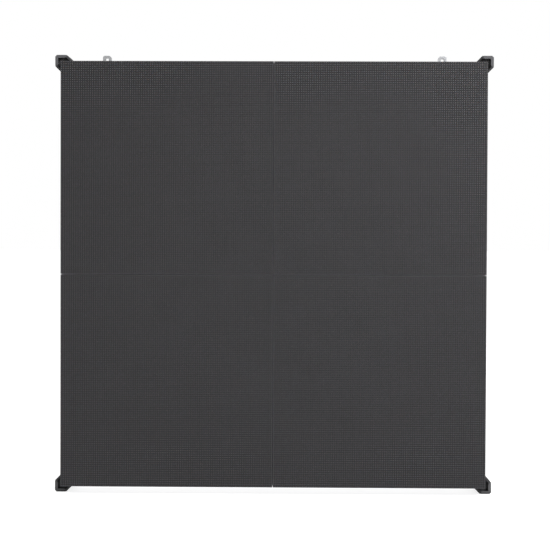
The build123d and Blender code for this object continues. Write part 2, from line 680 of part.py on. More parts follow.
# ---------------------------------------------------------------- side latches
def side_hook():
    """Quarter-turn hook in its withdrawn position, about the shaft's centre."""
    middle = (SIDE_R_IN + SIDE_R_OUT) / 2
    tip = math.radians(66)
    nose = Pos(middle * math.cos(tip), middle * math.sin(tip)) * Circle((SIDE_R_OUT - SIDE_R_IN) / 2)
    blade = Sketch() + [
        sector(SIDE_R_IN, SIDE_R_OUT, 66, 130),
        sector(3.0, SIDE_R_OUT, 116, 130),
        nose,
        Circle(SIDE_HUB_R),
    ]
    blade = blade - Rectangle(2 * SIDE_SQUARE, 2 * SIDE_SQUARE)
    return facing(blade, (-SIDE_T / 2, SIDE_T / 2))


def side_shaft():
    """Shaft with a square for the hook and a riveted end over the lever."""
    half = SIDE_T / 2
    low, high = SIDE_LEVER_Y
    square = block((-SIDE_SQUARE, SIDE_SQUARE), (-half, half), (-SIDE_SQUARE, SIDE_SQUARE))
    bearings = rod_y(SHAFT_R, 0, (SIDE_SHAFT_FRONT, -half), 0) + rod_y(SHAFT_R, 0, (half, low), 0)
    rivet = rod_y(RIVET_R, 0, (low, high), 0) + rod_y(RIVET_HEAD_R, 0, (high, high + RIVET_HEAD), 0)
    return square + bearings + rivet


def side_lever():
    """Flat thumb lever, pointing inward while the hook is withdrawn."""
    plate = Circle(8.0) + Pos(-SIDE_LEVER / 2, 0) * Rectangle(SIDE_LEVER, 2 * SIDE_LEVER_HALF)
    plate = plate + Pos(-SIDE_LEVER, 0) * Circle(SIDE_LEVER_HALF + 1.5)
    lever = facing(plate - Circle(RIVET_R + FIT), SIDE_LEVER_Y)
    top, reach = SIDE_LEVER_Y[1], SIDE_LEVER_HALF - 0.5
    lever -= [
        block((x - 0.6, x + 0.6), (top - 0.8, top + 1), (-reach, reach))
        for x in [-SIDE_LEVER + 3.0 * i for i in range(-1, 3)]
    ]
    return lever


def at_side_latch(shape, sign):
    """A side latch's sub-part, moved to its place on the right rail."""
    return Pos(SIDE_PIVOT, 0, sign * SIDE_Z) * shape


# ---------------------------------------------------------------- power and data box
def box_outline(inset):
    """Outline of the power box, drawn in from its edge."""
    return RectangleRounded(2 * (BOX_HALF_X - inset), 2 * (BOX_HALF_Z - inset), max(6.0 - inset, 1.0))


def power_box_shell():
    """Open-backed box with screw bosses, header windows and socket holes."""
    shell = facing(box_outline(0), (BOX_FRONT, SHELL_REAR))
    shell -= facing(box_outline(BOX_WALL), (FLOOR, SHELL_REAR + 1))
    shell += [rod_y(5.5, x, (FLOOR, SHELL_REAR), z) for x, z in COVER_SCREWS]
    shell += [rod_y(3.5, x, (FLOOR, HUB_FRONT), z) for x, z in HUB_SCREWS]
    cuts = [rod_y(2.0 + FIT, x, (SHELL_REAR - 14, SHELL_REAR + 1), z) for x, z in COVER_SCREWS]
    cuts += [rod_y(1.4 + FIT, x, (FLOOR - 1, HUB_FRONT + 1), z) for x, z in HUB_SCREWS]
    cuts += [rod_y(1.9 + FIT, x, (BOX_FRONT - 1, FLOOR + 1), z) for x, z in BOX_SCREWS]
    for sx in (-1, 1):
        for sz in (-1, 1):
            wide, high = HEADER[0] / 2 + 1, HEADER[1] / 2 + 1
            x, z = sx * HEADER_AT, sz * HEADER_AT
            cuts.append(block((x - wide, x + wide), (BOX_FRONT - 1, FLOOR + 1), (z - high, z + high)))
    for x in SOCKETS.values():
        cuts.append(rod_z(SOCKET_R + 0.1, x, SOCKET_Y, (-BOX_HALF_Z - 1, -BOX_HALF_Z + BOX_WALL + 1)))
    return shell - cuts


def rear_cover():
    """Finned rear cover with the guide of the test button behind it."""
    cover = facing(box_outline(0), (COVER_FRONT, COVER_REAR))
    cover = chamfer(cover.faces().sort_by(Axis.Y)[-1].edges(), 1.5)
    x, z = BUTTON
    cover += rod_y(8.0, x, (22, COVER_FRONT), z)
    cuts = [rod_y(BUTTON_R + 0.2, x, (COVER_FRONT - 2, COVER_REAR + 1), z)]
    cuts.append(rod_y(BUTTON_FLANGE_R + 0.3, x, (24, COVER_FRONT - 1), z))
    cuts.append(rod_y(1.5, x, (21, 25), z))
    cuts += [rod_y(LENS_R + FIT, lx, (COVER_FRONT - 1, COVER_REAR + 1), lz) for lx, lz in LENSES]
    for sx, sz in COVER_SCREWS:
        cuts.append(rod_y(2.0 + FIT, sx, (COVER_FRONT - 1, COVER_REAR + 1), sz))
        cuts.append(rod_y(3.6 + FIT, sx, (COVER_REAR - 2.2, COVER_REAR + 1), sz))
    groove = SlotOverall(FIN_LENGTH, FIN_PITCH - 5, rotation=90)
    for i in range(FINS):
        place = Pos((i - (FINS - 1) / 2) * FIN_PITCH, 32)
        cuts.append(facing(place * groove, (COVER_REAR - 2, COVER_REAR + 1)))
    return cover - cuts


def cover_screw(x, z):
    """Countersunk screw of the rear cover, set below its face."""
    head = rod_y(3.6, x, (COVER_REAR - 2.2, COVER_REAR - 0.2), z)
    return head + rod_y(2.0, x, (SHELL_REAR - 12, COVER_REAR - 2.2), z)


def box_screw(x, z):
    """Screw from inside the box into a cross bar."""
    return rod_y(3.5, x, (FLOOR, FLOOR + 2), z) + rod_y(1.9, x, (BOX_FRONT - 6, FLOOR), z)


def hub_screw(x, z):
    """Screw of the hub board."""
    return rod_y(2.6, x, (HUB_REAR, HUB_REAR + 1.8), z) + rod_y(1.4, x, (FLOOR + 0.3, HUB_REAR), z)


def hub_board():
    """Board that joins the four modules, the supply and the receiving card."""
    board = block((-HUB_X, HUB_X), (HUB_FRONT, HUB_REAR), HUB_Z)
    low = HUB_Z[0] + 17
    plugs = [block((x - 9, x + 9), (HUB_REAR, HUB_REAR + 7), (low, low + 8)) for x in (-30, 0, 30)]
    cans = [rod_y(5, -40 + 14 * i, (HUB_REAR, HUB_REAR + 12), HUB_Z[1] - 22) for i in range(4)]
    holes = [rod_y(1.4 + FIT, x, (HUB_FRONT - 1, HUB_REAR + 1), z) for x, z in HUB_SCREWS]
    return (board + plugs + cans) - holes


def power_supply():
    """Supply in a folded metal case, on four feet, with a row of vent slots."""
    case = block(SUPPLY_X, SUPPLY_Y, SUPPLY_Z)
    inset = 6.0
    feet = [
        rod_y(3, x, (HUB_REAR, SUPPLY_Y[0]), z)
        for x in (SUPPLY_X[0] + inset, SUPPLY_X[1] - inset)
        for z in (SUPPLY_Z[0] + inset, SUPPLY_Z[1] - inset)
    ]
    across = (SUPPLY_X[0] + 8, SUPPLY_X[1] - 8)
    first = SUPPLY_Z[0] + 15
    depth = (SUPPLY_Y[1] - 2, SUPPLY_Y[1] + 1)
    vents = [block(across, depth, (first + 8 * i, first + 8 * i + 3)) for i in range(16)]
    return (case + feet) - vents


def receiving_card():
    """Data card on its two connectors, with the main chip and memory."""
    rear = CARD_Y + BOARD_T
    card = block(CARD_X, (CARD_Y, rear), CARD_Z)
    foot_z = (CARD_Z[0] + 20, CARD_Z[1] - 20)
    feet = [
        block((x - 3, x + 3), (HUB_REAR, CARD_Y), foot_z) for x in (CARD_X[0] + 8, CARD_X[1] - 8)
    ]
    middle = (CARD_X[0] + CARD_X[1]) / 2
    main_chip = block((middle - 10, middle + 10), (rear, rear + CHIP_TALL), (40, 60))
    memory = block((middle - 8, middle + 8), (rear, rear + CHIP_TALL - 0.6), (70, 82))
    return card + feet + [main_chip, memory]


def socket(x, power):
    """Panel socket: flange outside, barrel inside, and its mouth facing down."""
    wide, high = 13.0, 15.5
    depth = (SOCKET_Y - high, SOCKET_Y + high)
    flange = block((x - wide, x + wide), depth, (-BOX_HALF_Z - FLANGE_T, -BOX_HALF_Z))
    flange = chamfer(flange.edges().filter_by(Axis.Z), 2.5)
    body = flange + rod_z(SOCKET_R, x, SOCKET_Y, (-BOX_HALF_Z, -BOX_HALF_Z + SOCKET_DEPTH))
    mouth = (-BOX_HALF_Z - FLANGE_T - 1, -BOX_HALF_Z + SOCKET_DEPTH - 4)
    if not power:
        body -= block((x - 6.5, x + 6.5), (SOCKET_Y - 6, SOCKET_Y + 6), mouth)
        tongue = (-BOX_HALF_Z + 4, -BOX_HALF_Z + SOCKET_DEPTH - 4)
        return body + block((x - 4.5, x + 4.5), (SOCKET_Y - 6, SOCKET_Y - 4.4), tongue)
    body -= rod_z(9.6, x, SOCKET_Y, mouth)
    return body + rod_z(4.0, x, SOCKET_Y, (-BOX_HALF_Z + 2, -BOX_HALF_Z + SOCKET_DEPTH - 3))


def supply_lead(name, end_x, end_turn_z):
    """Insulated lead from a power socket up to the supply."""
    x, top = SOCKETS[name], -BOX_HALF_Z + SOCKET_DEPTH
    turns = [(x, LEAD_TURN_Z), (end_x, end_turn_z)]
    points = [(px, SOCKET_Y, pz) for px, pz in [(x, top), *turns, (end_x, SUPPLY_Z[0])]]
    route = FilletPolyline(*points, radius=LEAD_BEND)
    return sweep(Plane(origin=route @ 0, z_dir=route % 0) * Circle(LEAD_R), path=route)


def test_button():
    """Push button: cap, retaining flange and stem."""
    x, z = BUTTON
    cap = rod_y(BUTTON_R, x, (COVER_FRONT - 2, COVER_REAR - 0.6), z)
    flange = rod_y(BUTTON_FLANGE_R, x, (COVER_FRONT - 2.6, COVER_FRONT - 1.1), z)
    return cap + flange + rod_y(1.2, x, (20.5, COVER_FRONT - 2), z)


def button_spring():
    """Coil spring under the test button's flange."""
    x, z = BUTTON
    low, high = 24.5, COVER_FRONT - 3.1
    coil = Helix(pitch=(high - low) / 5, height=high - low, radius=4.0)
    wire = sweep(Plane(origin=coil @ 0, z_dir=coil % 0) * Circle(0.4), path=coil)
    return Pos(x, low, z) * Rot(-90, 0, 0) * wire


# ---------------------------------------------------------------- handle
def handle_bail():
    """Two arms and the bar between them, hanging from the pins."""
    arm_outline = Circle(ARM_R) + Pos(0, -HANDLE_DROP / 2) * Rectangle(2 * (ARM_R - 1), HANDLE_DROP)
    arm_outline = arm_outline + Pos(0, -HANDLE_DROP) * Circle(ARM_R)
    arm = sideways(arm_outline, (HANDLE_X - ARM_HALF, HANDLE_X + ARM_HALF))
    arm -= sideways(Circle(HANDLE_PIN_R + FIT), (HANDLE_X - 5, HANDLE_X + 5))
    inner = HANDLE_X - ARM_HALF
    bar = Pos(0, 0, -HANDLE_DROP) * rod_x(BAR_R, (-inner, inner), 0, 0)
    return Pos(0, HANDLE_Y, HANDLE_Z) * (bar + both_sides(arm))


def handle_grip():
    """Soft sleeve on the handle's bar, with shallow finger waists."""
    sleeve = rod_x(GRIP_R, (-60, 60), 0, 0)
    sleeve -= rod_x(BAR_R + 0.02, (-61, 61), 0, 0)
    for x in (-36, -12, 12, 36):
        sleeve -= rod_x(GRIP_R + 1, (x - 1, x + 1), 0, 0) - rod_x(GRIP_R - 1.0, (x - 2, x + 2), 0, 0)
    return Pos(0, HANDLE_Y, HANDLE_Z - HANDLE_DROP) * sleeve


def handle_pin():
    """Pivot pin of the handle, on the right."""
    return rod_x(HANDLE_PIN_R, LUG_X, HANDLE_Y, HANDLE_Z)


# ---------------------------------------------------------------- write every sub-part
def save_modules():
    mask, board, case = module_mask(), led_board(), module_case()
    screws, magnets, plates, headers = [], [], [], []
    for sx, across in ((-1, "left"), (1, "right")):
        for sz, level in ((-1, "lower"), (1, "upper")):
            place = f"{level}_{across}"
            save(f"module_mask_{place}", [at_module(mask, sx, sz)])
            save(f"led_board_{place}", [at_module(board, sx, sz)])
            save(f"module_case_{place}", [at_module(case, sx, sz)])
            screws += [at_module(module_screw(x, z), sx, sz) for x, z in case_bosses()]
            for x, z in magnet_spots():
                magnet = rod_y(MAGNET_R, x, (FRAME_FRONT - MAGNET_T, FRAME_FRONT - 0.1), z)
                plate = rod_y(PLATE_R, x, (FRAME_FRONT, FRAME_FRONT + PLATE_T), z)
                magnets.append(at_module(magnet, sx, sz))
                plates.append(at_module(plate, sx, sz))
            headers.append(module_header(sx * HEADER_AT, sz * HEADER_AT))
    save("module_screws", screws)
    save("module_magnets", magnets)
    save("magnet_plates", plates)
    save("module_headers", headers)


def save_guards():
    places = ("upper_right", "upper_left", "lower_right", "lower_left")
    for place, guard, pad in zip(places, four_ways(corner_guard()), four_ways(guard_pad())):
        save(f"corner_guard_{place}", [guard])
        save(f"guard_pad_{place}", [pad])


def save_latches():
    for side, striker, hook, grip in zip(
        ("right", "left"), both_sides(top_striker()), both_sides(bottom_hook()), both_sides(hook_grip())
    ):
        save(f"top_striker_{side}", [striker])
        save(f"bottom_hook_{side}", [hook])
        save(f"hook_grip_{side}", [grip])
    places = [s * STRIKER_X + dx for s in (-1, 1) for dx in (-STRIKER_SCREW, STRIKER_SCREW)]
    save("striker_screws", [striker_screw(x) for x in places])
    for sign, level in ((1, "upper"), (-1, "lower")):
        save(f"side_hook_{level}", [at_side_latch(side_hook(), sign)])
        save(f"side_shaft_{level}", [at_side_latch(side_shaft(), sign)])
        save(f"side_lever_{level}", [at_side_latch(side_lever(), sign)])
    pin_y = (-SIDE_PIN_HALF, SIDE_PIN_HALF)
    save("side_pins", [rod_y(SIDE_PIN_R, -SIDE_PIN_X, pin_y, s * SIDE_Z) for s in (-1, 1)])


def save_power_box():
    save("power_box_shell", [power_box_shell()])
    save("rear_cover", [rear_cover()])
    seal = facing(box_outline(0) - box_outline(4), (SHELL_REAR, COVER_FRONT))
    save("cover_seal", [seal])
    save("cover_screws", [cover_screw(x, z) for x, z in COVER_SCREWS])
    save("inner_screws", [box_screw(x, z) for x, z in BOX_SCREWS] + [hub_screw(x, z) for x, z in HUB_SCREWS])
    save("hub_board", [hub_board()])
    save("power_supply", [power_supply()])
    save("receiving_card", [receiving_card()])
    for name, x in SOCKETS.items():
        save(f"{name}_socket", [socket(x, name.startswith("power"))])
    save("supply_leads", [supply_lead("power_in", -50.0, -82.0), supply_lead("power_out", 0.0, -78.0)])
    save("status_lenses", [rod_y(LENS_R, x, (COVER_FRONT, COVER_REAR - 0.1), z) for x, z in LENSES])
    save("test_button", [test_button()])
    save("button_spring", [button_spring()])


def save_handle():
    save("handle_bail", [handle_bail()])
    save("handle_grip", [handle_grip()])
    save("pivot_pins", both_sides(handle_pin()) + both_sides(hook_pin()))


os.makedirs("parts", exist_ok=True)
save("cabinet_frame", [cabinet_frame()])
save("rigging_inserts", four_ways(rigging_insert()))
save("rear_inserts", four_ways(rear_insert()))
save_modules()
save_guards()
save_latches()
save_power_box()
save_handle()
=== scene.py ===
import math

import bpy
from mathutils import Matrix, Vector


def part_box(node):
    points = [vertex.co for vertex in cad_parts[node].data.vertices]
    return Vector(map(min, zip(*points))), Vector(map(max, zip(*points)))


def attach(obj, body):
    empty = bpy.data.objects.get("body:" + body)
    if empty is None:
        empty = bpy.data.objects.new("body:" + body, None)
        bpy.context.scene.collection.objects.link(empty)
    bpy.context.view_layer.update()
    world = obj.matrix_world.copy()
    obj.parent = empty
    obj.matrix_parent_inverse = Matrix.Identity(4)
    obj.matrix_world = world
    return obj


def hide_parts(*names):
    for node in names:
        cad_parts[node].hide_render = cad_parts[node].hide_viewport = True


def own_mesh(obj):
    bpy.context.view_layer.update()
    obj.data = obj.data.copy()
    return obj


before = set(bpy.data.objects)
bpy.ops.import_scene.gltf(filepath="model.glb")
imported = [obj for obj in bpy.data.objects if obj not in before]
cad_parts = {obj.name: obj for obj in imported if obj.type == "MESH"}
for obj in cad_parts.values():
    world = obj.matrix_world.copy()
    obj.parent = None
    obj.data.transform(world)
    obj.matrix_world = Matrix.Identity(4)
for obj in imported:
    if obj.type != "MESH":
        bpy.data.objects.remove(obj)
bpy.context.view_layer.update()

MM = 0.001
PER_SIDE = 96  # LEDs along a module's side
PITCH = 250.0 / PER_SIDE * MM  # spacing of the LEDs
CORNERS = ("upper_left", "upper_right", "lower_left", "lower_right")
FACE_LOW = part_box("module_mask_lower_left")[0].z
FACE_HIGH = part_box("module_mask_upper_left")[1].z
MIDDLE = (FACE_LOW + FACE_HIGH) / 2  # height of the middle of the LED face


# ---------------------------------------------------------------- node helpers


def shade(colour, factor):
    return tuple(min(1.0, c * factor) for c in colour)


class Finish:
    """A procedural material that is built up node by node in the object's own metres."""

    EDGE_REACH = 0.5 * MM  # how far from an edge the wear on it reaches

    def __init__(self, name, rough=0.5, metallic=0.0, specular=0.5, coat=0.0):
        self.material = bpy.data.materials.new(name)
        self.material.use_nodes = True
        self.tree = self.material.node_tree
        self.shader = self.tree.nodes["Principled BSDF"]
        self.shader.inputs["Roughness"].default_value = rough
        self.shader.inputs["Metallic"].default_value = metallic
        self.shader.inputs["Specular IOR Level"].default_value = specular
        self.shader.inputs["Coat Weight"].default_value = coat
        self.place = self.add("ShaderNodeTexCoord").outputs["Object"]

    def add(self, kind, inputs=None, **settings):
        node = self.tree.nodes.new(kind)
        for key, value in settings.items():
            setattr(node, key, value)
        for key, value in (inputs or {}).items():
            self.feed(node.inputs[key], value)
        return node

    def feed(self, socket, value):
        """Links a socket, or sets a number or a colour."""
        if isinstance(value, bpy.types.NodeSocket):
            self.tree.links.new(value, socket)
        elif isinstance(value, tuple) and len(value) == 3 and socket.type == "RGBA":
            socket.default_value = (*value, 1.0)
        else:
            socket.default_value = value

    def math(self, operation, a, b=0.0):
        return self.add("ShaderNodeMath", {0: a, 1: b}, operation=operation).outputs[0]

    def axis(self, name):
        return self.add("ShaderNodeSeparateXYZ", {"Vector": self.place}).outputs[name]

    def stretch(self, x, y, z):
        node = self.add("ShaderNodeMapping", {"Vector": self.place, "Scale": (x, y, z)})
        return node.outputs["Vector"]

    def noise(self, size, detail=3.0, vector=None):
        """A cloud pattern with lumps of about size metres."""
        inputs = {"Vector": vector or self.place, "Scale": 1 / size, "Detail": detail, "Roughness": 0.55}
        return self.add("ShaderNodeTexNoise", inputs).outputs["Fac"]

    def span(self, value, low, high, to_low=0.0, to_high=1.0):
        """Eases from to_low to to_high while value goes from low to high."""
        inputs = {"Value": value, "From Min": low, "From Max": high, "To Min": to_low, "To Max": to_high}
        node = self.add("ShaderNodeMapRange", inputs, interpolation_type="SMOOTHSTEP")
        return node.outputs["Result"]

    def vary(self, pattern, low, high):
        """A roughness that wanders from low to high with a cloud pattern."""
        return self.span(pattern, 0.3, 0.7, low, high)

    def mix(self, factor, a, b):
        return self.add("ShaderNodeMix", {0: factor, 6: a, 7: b}, data_type="RGBA").outputs[2]

    def mottle(self, pattern, colour, dark, light):
        return self.mix(pattern, shade(colour, dark), shade(colour, light))

    def stain(self, tone, where, amount, colour):
        """Lays colour over tone, by amount where the pattern is 1."""
        return self.mix(self.math("MULTIPLY", where, amount), tone, colour)

    def scaled(self, tone, factor):
        node = self.add("ShaderNodeHueSaturation", {"Color": tone, "Value": factor})
        return node.outputs["Color"]

    def edges(self):
        """1 on sharp edges, 0 on flats."""
        soft = self.add("ShaderNodeBevel", {"Radius": self.EDGE_REACH}, samples=4).outputs["Normal"]
        flat = self.add("ShaderNodeNewGeometry").outputs["Normal"]
        dot = self.add("ShaderNodeVectorMath", {0: soft, 1: flat}, operation="DOT_PRODUCT")
        return self.span(self.math("SUBTRACT", 1.0, dot.outputs["Value"]), 0.02, 0.25)

    def hollow(self, reach):
        """0 on open surfaces, towards 1 deep in grooves and pockets."""
        open_sky = self.add("ShaderNodeAmbientOcclusion", {"Distance": reach}, samples=6)
        return self.span(open_sky.outputs["AO"], 0.35, 0.9, 1.0, 0.0)

    def bump(self, height, strength, distance, normal=None):
        inputs = {"Height": height, "Strength": strength, "Distance": distance}
        if normal:
            inputs["Normal"] = normal
        return self.add("ShaderNodeBump", inputs).outputs["Normal"]

    def done(self, colour, rough=None, normal=None):
        self.feed(self.shader.inputs["Base Color"], colour)
        if rough is not None:
            self.feed(self.shader.inputs["Roughness"], rough)
        if normal is not None:
            self.feed(self.shader.inputs["Normal"], normal)
        return self.material


# ---------------------------------------------------------------- finishes

GREY_SCUFF = (0.3, 0.3, 0.3)
TARNISH = (0.32, 0.31, 0.29)
RUBBER_DUST = (0.3, 0.29, 0.28)
LOUVRE_DUST = (0.2, 0.2, 0.2)
EVENLY = (1.0, 1.0, 1.0)
POCKET_SHADE_REACH = 7 * MM  # reach of the painted shade in a guard's pockets
GUARD_SHADE_EDGE = 501.0 * MM  # across plus up from the middle, where the painted shade on a guard's inner part ends and its outer corner begins
GUARD_BLEND = 2.5 * MM


def powder_coat(name, colour, rough, grain, wear):
    """Textured powder coat: leathery grain, faint mottling and rubbed edges."""
    f = Finish(name, specular=0.4)
    peel = f.noise(grain * MM, 2.0)
    fine = f.noise(0.16 * MM, 1.0)
    tone = f.mottle(f.noise(38 * MM, 4.0), colour, 0.86, 1.14)
    tone = f.mix(f.span(fine, 0.35, 0.7), tone, shade(colour, 1.06))
    patches = f.math("MULTIPLY", f.edges(), f.span(f.noise(4 * MM), 0.46, 0.62))
    tone = f.stain(tone, patches, 0.55, wear)
    dull = f.vary(f.noise(11 * MM), rough - 0.03, rough + 0.06)
    normal = f.bump(peel, 0.35, 0.12 * MM)
    normal = f.bump(fine, 0.2, 0.05 * MM, normal)
    return f.done(tone, dull, normal)


def guard_painted_shade(f, tone, colour, pocket_shade):
    """Paints shade into the pockets of a corner guard and onto its inner part next to the panel; only
    its outer corner keeps its own tone.
    """
    # painted shade in the guard's pockets
    tone = f.stain(tone, f.hollow(POCKET_SHADE_REACH), pocket_shade, shade(colour, 0.06))
    # painted shade on the guard's inner part next to the panel, fading out towards its outer corner
    from_middle = f.math("ABSOLUTE", f.math("SUBTRACT", f.axis("Z"), MIDDLE))
    diagonal = f.math("ADD", f.math("ABSOLUTE", f.axis("X")), from_middle)
    inner_shade = f.span(diagonal, GUARD_SHADE_EDGE, GUARD_SHADE_EDGE + GUARD_BLEND, 0.9, 0.0)
    return f.mix(inner_shade, tone, shade(colour, 0.25))


def moulded(name, colour, rough, specular=0.4, grain=0.3, scuff=GREY_SCUFF, rubbed=0.3, pocket_shade=0.0):
    """Spark-eroded moulded plastic with light scuffs on its edges; the corner guards also get painted
    shade in their pockets and on their inner part.
    """
    f = Finish(name, specular=specular)
    skin = f.noise(grain * MM, 2.0)
    tone = f.mottle(f.noise(22 * MM, 4.0, f.stretch(1.0, 1.0, 0.45)), colour, 0.85, 1.17)
    scratch = f.span(f.noise(0.8 * MM, 3.0, f.stretch(1.0, 1.0, 0.12)), 0.62, 0.74)
    tone = f.stain(tone, scratch, 0.16, scuff)
    rub = f.math("MULTIPLY", f.edges(), f.span(f.noise(2.5 * MM), 0.42, 0.6))
    tone = f.stain(tone, rub, rubbed, scuff)
    # painted shade for the corner guards
    if pocket_shade:
        tone = guard_painted_shade(f, tone, colour, pocket_shade)
    dull = f.vary(f.noise(7 * MM), rough - 0.04, rough + 0.07)
    normal = f.bump(skin, 0.3, 0.06 * MM)
    return f.done(tone, dull, normal)


def plated(name, colour, rough, lines=(1.0, 1.0, 0.06)):
    """Plated steel with drawn lines, cloudy plating and dull spots."""
    f = Finish(name, metallic=1.0)
    drawn = f.noise(0.35 * MM, 4.0, f.stretch(*lines))
    tone = f.mottle(f.noise(6 * MM, 4.0), colour, 0.82, 1.08)
    tone = f.stain(tone, f.span(drawn, 0.45, 0.7), 0.25, shade(colour, 0.7))
    tone = f.stain(tone, f.span(f.noise(1.7 * MM, 5.0), 0.6, 0.72), 0.4, TARNISH)
    dull = f.vary(drawn, rough - 0.08, rough + 0.14)
    normal = f.bump(drawn, 0.25, 0.04 * MM)
    return f.done(tone, dull, normal)


def galvanised(name, colour):
    """Folded galvanised sheet with its spangle."""
    f = Finish(name, metallic=1.0)
    spangle = f.add("ShaderNodeTexVoronoi", {"Vector": f.place, "Scale": 1 / (7 * MM)}).outputs["Color"]
    grey = f.add("ShaderNodeRGBToBW", {"Color": spangle}).outputs["Val"]
    tone = f.mottle(grey, colour, 0.8, 1.12)
    tone = f.stain(tone, f.span(f.noise(1.5 * MM), 0.55, 0.75), 0.3, shade(colour, 0.6))
    dull = f.span(grey, 0.0, 1.0, 0.28, 0.46)
    normal = f.bump(f.noise(5 * MM), 0.2, 0.15 * MM)
    return f.done(tone, dull, normal)


def rubber(name, colour, rib=0.0, rough=0.75):
    """Matt rubber, with fine moulded ribs along X where rib gives their spacing, and painted shade in
    the grooves between them.
    """
    f = Finish(name, specular=0.3)
    skin = f.noise(0.25 * MM, 2.0)
    dust = f.span(f.noise(13 * MM, 5.0), 0.5, 0.8)
    tone = f.mottle(f.noise(5 * MM), colour, 0.8, 1.2)
    tone = f.stain(tone, dust, 0.12, RUBBER_DUST)
    normal = f.bump(skin, 0.35, 0.06 * MM)
    if rib:
        wave = f.math("SINE", f.math("MULTIPLY", f.axis("X"), 2 * math.pi / rib))
        groove = f.span(wave, -0.9, -0.2)
        # painted shade in the grooves between the ribs
        tone = f.mix(groove, shade(colour, 0.5), tone)
        normal = f.bump(groove, 0.8, 0.3 * MM, normal)
    return f.done(tone, f.vary(skin, rough - 0.06, rough + 0.06), normal)


TRACES = {"Scale": 1.0, "Brick Width": 3.1 * MM, "Row Height": 1.1 * MM, "Mortar Size": 0.16 * MM}
PAD_PITCH = 2.6 * MM
PAD_TIN = (0.62, 0.6, 0.52)
CHIP_BLACK = ((0.012, 0.012, 0.013), (0.028, 0.028, 0.03))


def circuit(name, mask, chips_from):
    """Solder mask over copper traces; whatever stands above chips_from along Y is a black chip."""
    f = Finish(name, specular=0.5, coat=0.15)
    x, y, z = f.axis("X"), f.axis("Y"), f.axis("Z")
    flat = f.add("ShaderNodeCombineXYZ", {"X": x, "Y": z, "Z": 0.0}).outputs["Vector"]
    turned = f.add("ShaderNodeCombineXYZ", {"X": z, "Y": x, "Z": 0.0}).outputs["Vector"]
    rows = f.add("ShaderNodeTexBrick", {"Vector": flat, **TRACES}).outputs["Fac"]
    columns = f.add("ShaderNodeTexBrick", {"Vector": turned, **TRACES}).outputs["Fac"]
    zones = f.span(f.noise(24 * MM, 0.0), 0.48, 0.52)
    traces = f.mix(zones, rows, columns)
    tone = f.mottle(f.noise(9 * MM), mask, 0.85, 1.15)
    tone = f.stain(tone, traces, 0.55, shade(mask, 2.1))
    spots = f.add("ShaderNodeTexVoronoi", {"Vector": flat, "Scale": 1 / PAD_PITCH}).outputs["Distance"]
    tone = f.stain(tone, f.math("LESS_THAN", spots, 0.13), 0.8, PAD_TIN)
    chip = f.mix(f.noise(0.5 * MM), *CHIP_BLACK)
    above = f.math("GREATER_THAN", y, chips_from)
    tone = f.mix(above, tone, chip)
    dull = f.math("ADD", f.math("MULTIPLY", above, 0.25), 0.32)
    normal = f.bump(traces, 0.3, 0.05 * MM)
    return f.done(tone, dull, normal)


LOUVRE_BLACK = (0.0108, 0.0106, 0.0112)
LOUVRE_EDGE = 0.4975  # share of a module from its middle, where the painted highlight along its edge begins


def mask_finish():
    """Matt black louvre plastic, with a painted highlight in lighter grey along the module's edge."""
    f = Finish("mask_black", specular=0.33)
    broad = f.noise(95 * MM, 3.0)
    smear = f.noise(34 * MM, 5.0, f.stretch(1.0, 1.0, 0.5))
    tone = f.mottle(broad, LOUVRE_BLACK, 0.8, 1.22)
    tone = f.stain(tone, f.span(smear, 0.5, 0.75), 0.35, shade(LOUVRE_BLACK, 1.6))
    dust = f.span(f.noise(1.1 * MM, 2.0), 0.68, 0.76)
    tone = f.stain(tone, dust, 0.1, LOUVRE_DUST)
    share = f.add("ShaderNodeTexCoord").outputs["Generated"]
    parts = f.add("ShaderNodeSeparateXYZ", {"Vector": share})
    edge_highlight = 0.0
    for axis in ("X", "Z"):
        off = f.math("ABSOLUTE", f.math("SUBTRACT", parts.outputs[axis], 0.5))
        edge_highlight = f.math("MAXIMUM", edge_highlight, f.math("GREATER_THAN", off, LOUVRE_EDGE))
    # painted highlight along the module's edge
    tone = f.mix(edge_highlight, tone, shade(LOUVRE_BLACK, 4.5))
    normal = f.bump(f.noise(0.12 * MM, 1.0), 0.3, 0.03 * MM)
    return f.done(tone, f.vary(broad, 0.5, 0.62), normal)


LED_BODY = (0.021, 0.021, 0.0217)
LED_WINDOW = (0.046, 0.045, 0.0477)
WINDOW_EDGE = (0.235, 0.255)  # half width of the window, in pitches
DIES = ((0.13, (0.4, 0.12, 0.06)), (0.0, (0.14, 0.28, 0.14)), (-0.13, (0.1, 0.14, 0.34)))
DIE_HALF_WIDTH, DIE_HALF_HEIGHT = 0.05, 0.035  # in pitches
WHOLE_CELLS = 100.0  # keeps every cell's number above zero


def led_finish():
    """Black-bodied LED: a satin rim, a clear window and three tiny dies in it."""
    f = Finish("led_package", specular=0.34, coat=0.03)
    spots = []
    for name in ("X", "Z"):
        cell = f.math("DIVIDE", f.axis(name), PITCH)
        if name == "Z":
            cell = f.math("SUBTRACT", cell, MIDDLE / PITCH)
        cell = f.math("FRACT", f.math("ADD", cell, WHOLE_CELLS))
        spots.append(f.math("SUBTRACT", cell, 0.5))
    across, up = spots
    reach = f.math("MAXIMUM", f.math("ABSOLUTE", across), f.math("ABSOLUTE", up))
    inside = f.span(reach, *WINDOW_EDGE, 1.0, 0.0)
    batch = f.noise(3.2 * MM, 0.0)
    tone = f.mix(inside, LED_BODY, LED_WINDOW)
    tone = f.mix(f.span(batch, 0.35, 0.65), f.scaled(tone, 0.86), f.scaled(tone, 1.12))
    for height, colour in DIES:
        side = f.math("LESS_THAN", f.math("ABSOLUTE", across), DIE_HALF_WIDTH)
        off = f.math("ABSOLUTE", f.math("SUBTRACT", up, height))
        level = f.math("LESS_THAN", off, DIE_HALF_HEIGHT)
        tone = f.stain(tone, f.math("MULTIPLY", side, level), 0.5, colour)
    return f.done(tone, f.span(inside, 0.0, 1.0, 0.54, 0.5))


